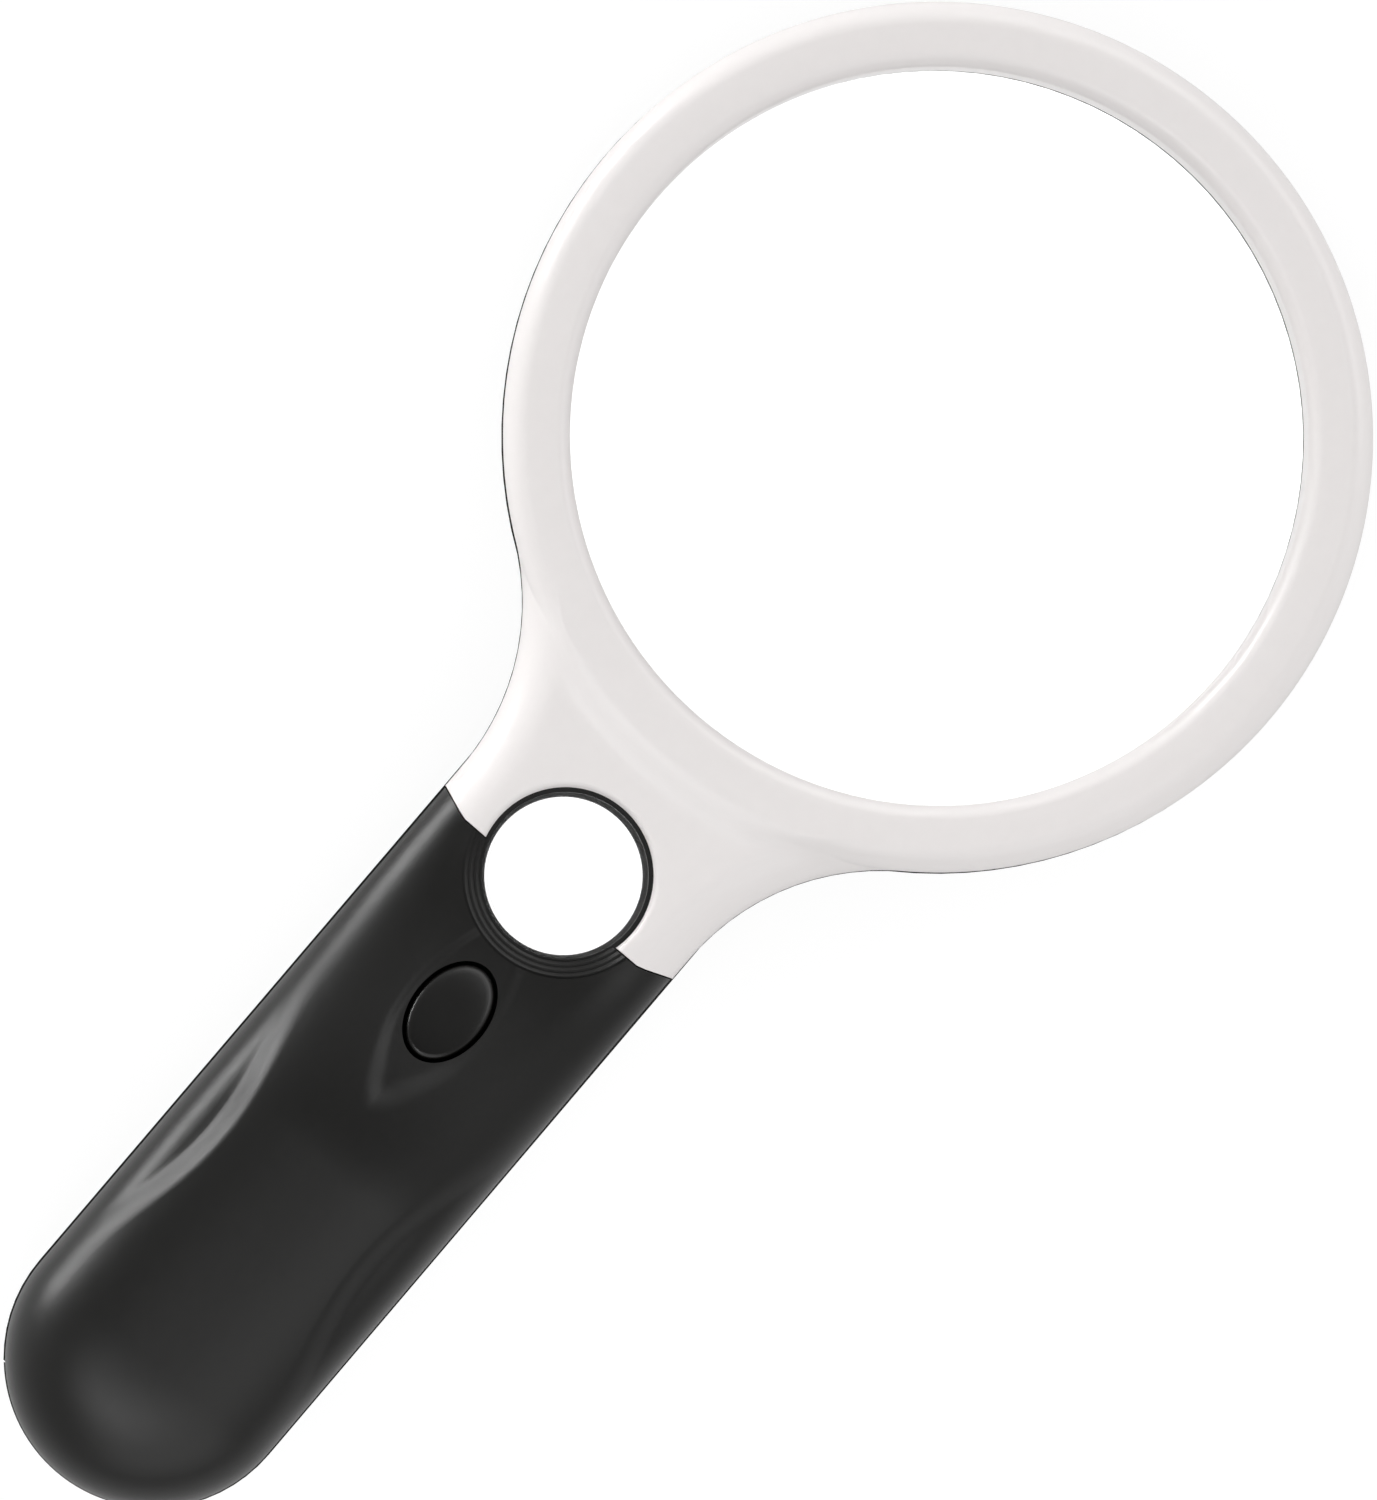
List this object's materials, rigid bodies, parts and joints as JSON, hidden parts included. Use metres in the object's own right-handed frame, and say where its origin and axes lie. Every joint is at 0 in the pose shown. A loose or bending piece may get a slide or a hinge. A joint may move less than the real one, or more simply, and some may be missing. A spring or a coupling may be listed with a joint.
{
  "type": "illuminated hand magnifier",
  "caption": "Hand magnifier with a large round lens in a ring, a small strong lens in the neck, a battery handle with a push button, and lights beside the lens.",
  "frame": {"origin": "middle of the length and width, on the plane of the flat back that it lies on", "axes": "+Y from the handle to the ring, +Z out of the face, +X to the right seen from the face with the ring up"},
  "size_m": [0.0902, 0.1852, 0.0242],
  "materials": {
    "white_plastic": "satin gloss",
    "black_plastic": "satin",
    "button_plastic": "satin",
    "clear_lens": "polished clear",
    "clear_window": "polished clear",
    "switch_plastic": "matte",
    "board": "satin",
    "resistor": "satin",
    "led_body": "clear",
    "cell_wrap": "gloss",
    "contact_metal": "bright",
    "red_wire": "satin",
    "black_wire": "satin",
    "screw_steel": "zinc"
  },
  "bodies": {
    "housing": {"lens_bezel": "white_plastic", "handle_cover": "black_plastic", "rear_housing": "black_plastic", "main_lens": "clear_lens", "small_lens": "clear_lens", "small_lens_holder": "black_plastic", "switch_body": "switch_plastic", "circuit_board": "board", "led_resistor": "resistor", "led_board": "board", "left_led": "led_body", "middle_led": "led_body", "right_led": "led_body", "led_window": "clear_window", "left_cell": "cell_wrap", "right_cell": "cell_wrap", "top_cell": "cell_wrap", "positive_contact": "contact_metal", "neck_link_contact": "contact_metal", "tail_link_contact": "contact_metal", "negative_contact": "contact_metal", "red_lead": "red_wire", "black_lead": "black_wire", "led_red_lead": "red_wire", "led_black_lead": "black_wire", "housing_screws": "screw_steel"},
    "button": {"power_button": "button_plastic", "switch_plunger": "white_plastic"},
    "door": {"battery_door": "black_plastic"}
  },
  "joints": [
    {"name": "button_press", "type": "slide", "parent": "housing", "child": "button", "axis": [0, 0, -1], "range_m": [0, 0.0015], "stiffness_N_per_m": 300, "springref_m": -0.001},
    {"name": "door_slide", "type": "slide", "parent": "housing", "child": "door", "axis": [0, -1, 0], "range_m": [0, 0.056]}
  ]
}
